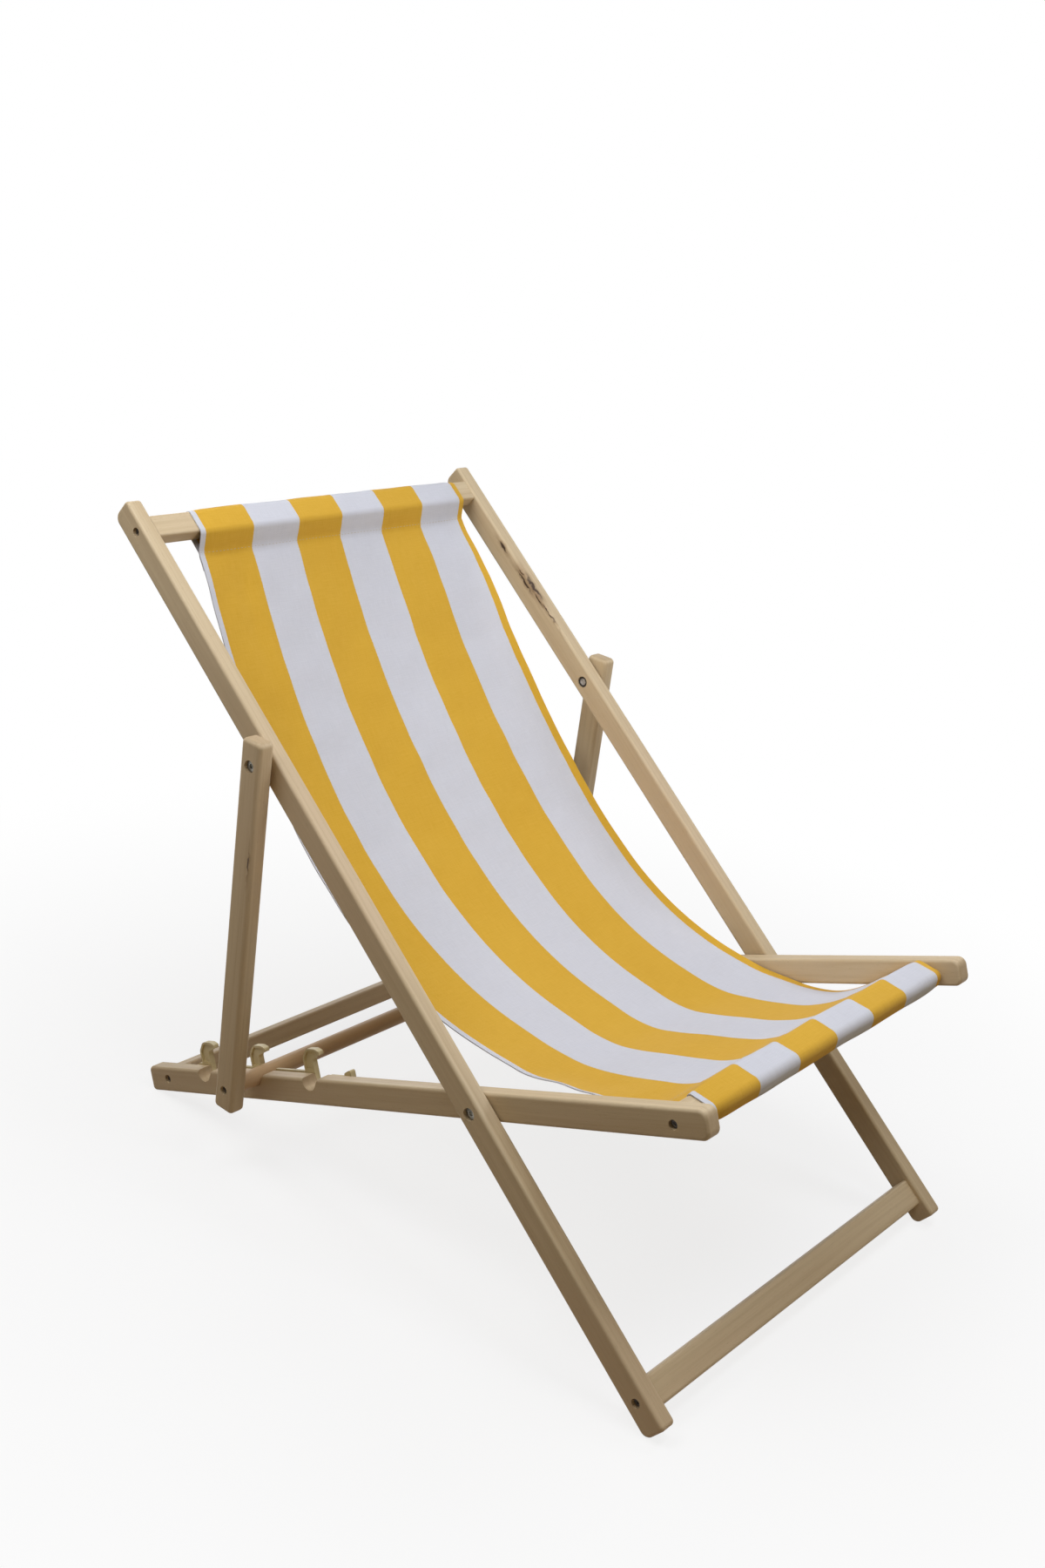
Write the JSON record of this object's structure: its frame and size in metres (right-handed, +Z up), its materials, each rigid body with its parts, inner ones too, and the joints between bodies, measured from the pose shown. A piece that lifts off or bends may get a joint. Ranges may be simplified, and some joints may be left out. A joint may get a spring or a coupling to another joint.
{
  "type": "folding deck chair",
  "caption": "Folding wooden deck chair with a sagging canvas sling, a notched seat frame and a hinged prop frame whose dowel sets the recline.",
  "frame": {"origin": "on the floor, under the middle of the chair's length and width", "axes": "+Z up, -Y the way the sitter looks, +X across the chair; left in a node's name is -X"},
  "size_m": [0.591, 0.8702, 0.7067],
  "materials": {
    "beech": "planed beech with eased edges, thin matt oil",
    "canvas": "cotton canvas in broad yellow and white stripes",
    "catch_plastic": "moulded pale beige plastic",
    "steel": "zinc plated steel",
    "dark_steel": "blackened steel",
    "washer_nylon": "plain nylon"
  },
  "bodies": {
    "back_frame": {"back_rail_left": "beech", "back_rail_right": "beech", "top_bar": "beech", "foot_bar": "beech", "sling": "canvas", "top_bar_screws": "dark_steel", "foot_bar_screws": "dark_steel", "seat_pivot_bolts": "steel", "seat_pivot_nuts": "steel", "seat_pivot_washers": "washer_nylon", "prop_pivot_bolts": "steel", "prop_pivot_nuts": "steel", "prop_pivot_washers": "washer_nylon"},
    "seat_frame": {"seat_rail_left": "beech", "seat_rail_right": "beech", "seat_front_bar": "beech", "seat_rear_bar": "beech", "catch_strip_left": "catch_plastic", "catch_strip_right": "catch_plastic", "catch_screws": "steel", "seat_front_screws": "dark_steel", "seat_rear_screws": "dark_steel"},
    "prop_frame": {"prop_leg_left": "beech", "prop_leg_right": "beech", "prop_dowel": "beech", "dowel_screws": "dark_steel"}
  },
  "joints": [
    {"name": "seat_fold", "type": "hinge", "parent": "back_frame", "child": "seat_frame", "pos_m": [0, -0.15709, 0.22497], "axis": [-1, 0, 0], "range_deg": [0, 113.5], "deforming": ["sling"]},
    {"name": "prop_fold", "type": "hinge", "parent": "back_frame", "child": "prop_frame", "pos_m": [0, 0.17023, 0.48814], "axis": [-1, 0, 0], "range_deg": [0, 47.33]}
  ],
  "couplings": [
    {"joint": "prop_fold", "follows": "seat_fold", "ratio": 0.417}
  ]
}
